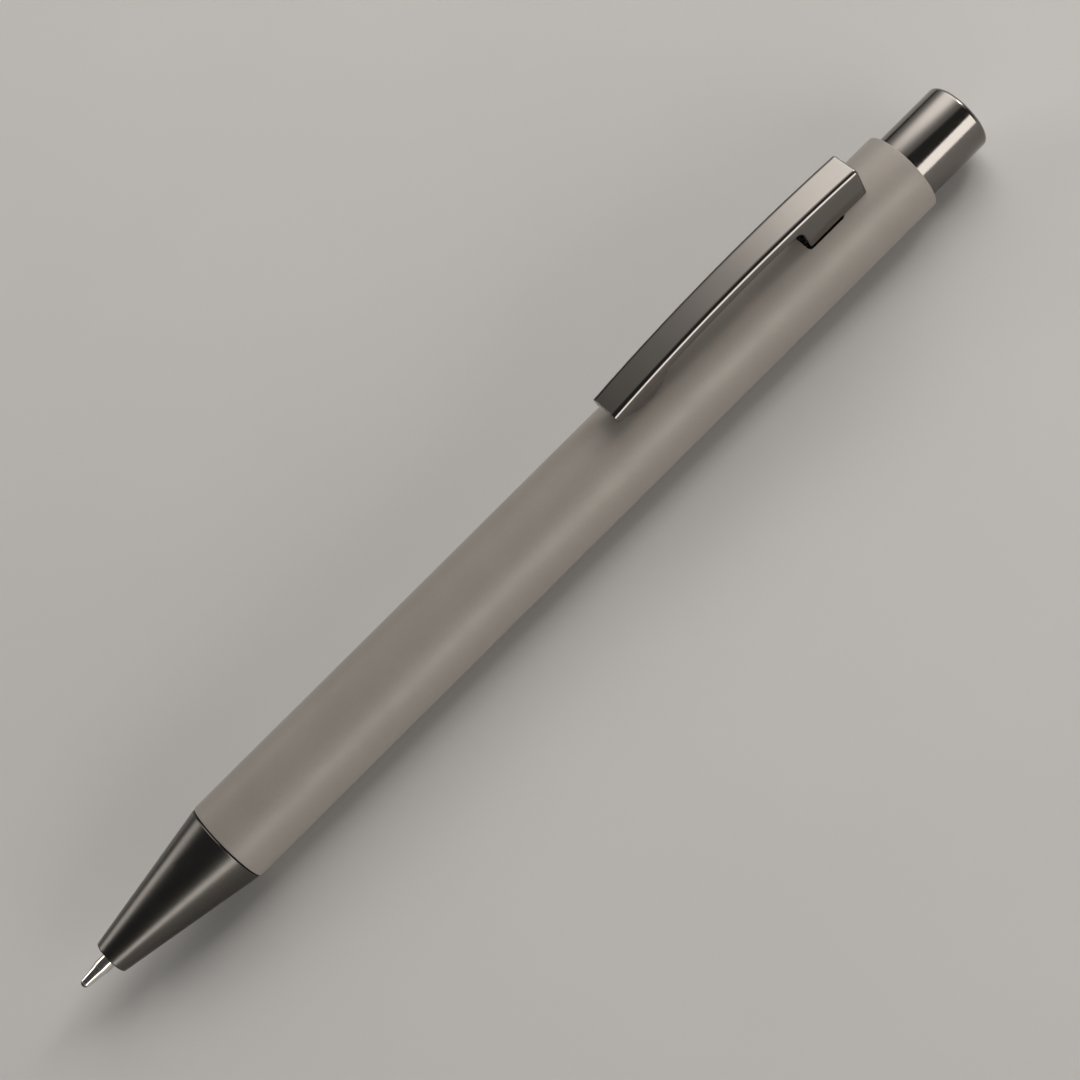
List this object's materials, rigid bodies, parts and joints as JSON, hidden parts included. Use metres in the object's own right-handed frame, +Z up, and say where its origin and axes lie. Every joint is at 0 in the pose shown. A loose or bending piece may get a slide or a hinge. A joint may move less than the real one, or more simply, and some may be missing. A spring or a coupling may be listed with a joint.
{
  "type": "retractable ballpoint pen",
  "caption": "Slim retractable ballpoint pen: straight matte barrel, metal nose cone, arched spring clip and a push button at the rear.",
  "frame": {"origin": "midway along the pen's length with the point out, centred across its width, at the barrel's lowest line", "axes": "+X along the pen from the point to the button, +Z up through the clip, +Y across"},
  "size_m": [0.1368, 0.0104, 0.0146],
  "materials": {
    "soft_touch": "matte soft-touch lacquer",
    "gunmetal_satin": "satin gunmetal plating, fine lengthwise brushing",
    "gunmetal_gloss": "polished gunmetal plating",
    "brass": "turned",
    "rubber": "moulded",
    "spring_steel": "bright wire and strip",
    "carbide": "ground",
    "nickel": "turned nickel silver",
    "white_plastic": "moulded",
    "steel_tube": "drawn",
    "ink": "viscous ink, modelled as a solid",
    "black_plastic": "moulded",
    "ivory_plastic": "moulded acetal"
  },
  "bodies": {
    "barrel": {"barrel_tube": "soft_touch", "front_bush": "brass", "guide_sleeve": "ivory_plastic", "clip_anchor": "spring_steel"},
    "nose_slider": {"nose_o_ring": "rubber"},
    "nose": {"nose_cone": "gunmetal_satin"},
    "clip": {"clip": "gunmetal_gloss"},
    "button": {"push_button": "gunmetal_gloss", "button_core": "black_plastic", "plunger": "ivory_plastic"},
    "refill": {"refill_tube": "steel_tube", "refill_neck": "white_plastic", "refill_crown": "black_plastic", "ink_column": "ink", "ball_point": "nickel", "return_spring": "spring_steel"},
    "rotor": {"rotor_cam": "ivory_plastic"},
    "ball": {"writing_ball": "carbide"}
  },
  "joints": [
    {"name": "button_slide", "type": "slide", "parent": "barrel", "child": "button", "axis": [1, 0, 0], "range_m": [-0.0004, 0.006]},
    {"name": "refill_slide", "type": "slide", "parent": "barrel", "child": "refill", "axis": [1, 0, 0], "range_m": [-0.0004, 0.006], "deforming": ["return_spring"]},
    {"name": "cam_index", "type": "hinge", "parent": "refill", "child": "rotor", "pos_m": [0.03272, 0, 0.0052], "axis": [1, 0, 0], "continuous": true},
    {"name": "nose_travel", "type": "slide", "parent": "barrel", "child": "nose_slider", "axis": [-1, 0, 0], "range_m": [0, 0.006]},
    {"name": "nose_unscrew", "type": "hinge", "parent": "nose_slider", "child": "nose", "pos_m": [-0.04627, 0, 0.0052], "axis": [-1, 0, 0], "range_deg": [0, 2880]},
    {"name": "clip_flex", "type": "hinge", "parent": "barrel", "child": "clip", "pos_m": [0.05348, 0, 0.01045], "axis": [0, 1, 0], "range_deg": [0, 3.5], "stiffness_Nm_per_rad": 2.2},
    {"name": "ball_roll", "type": "hinge", "parent": "refill", "child": "ball", "pos_m": [-0.06792, 0, 0.0052], "axis": [0, 1, 0], "continuous": true}
  ],
  "couplings": [
    {"joint": "refill_slide", "follows": "button_slide", "ratio": 1},
    {"joint": "nose_unscrew", "follows": "nose_travel", "rad_per_m": 8377.6}
  ]
}
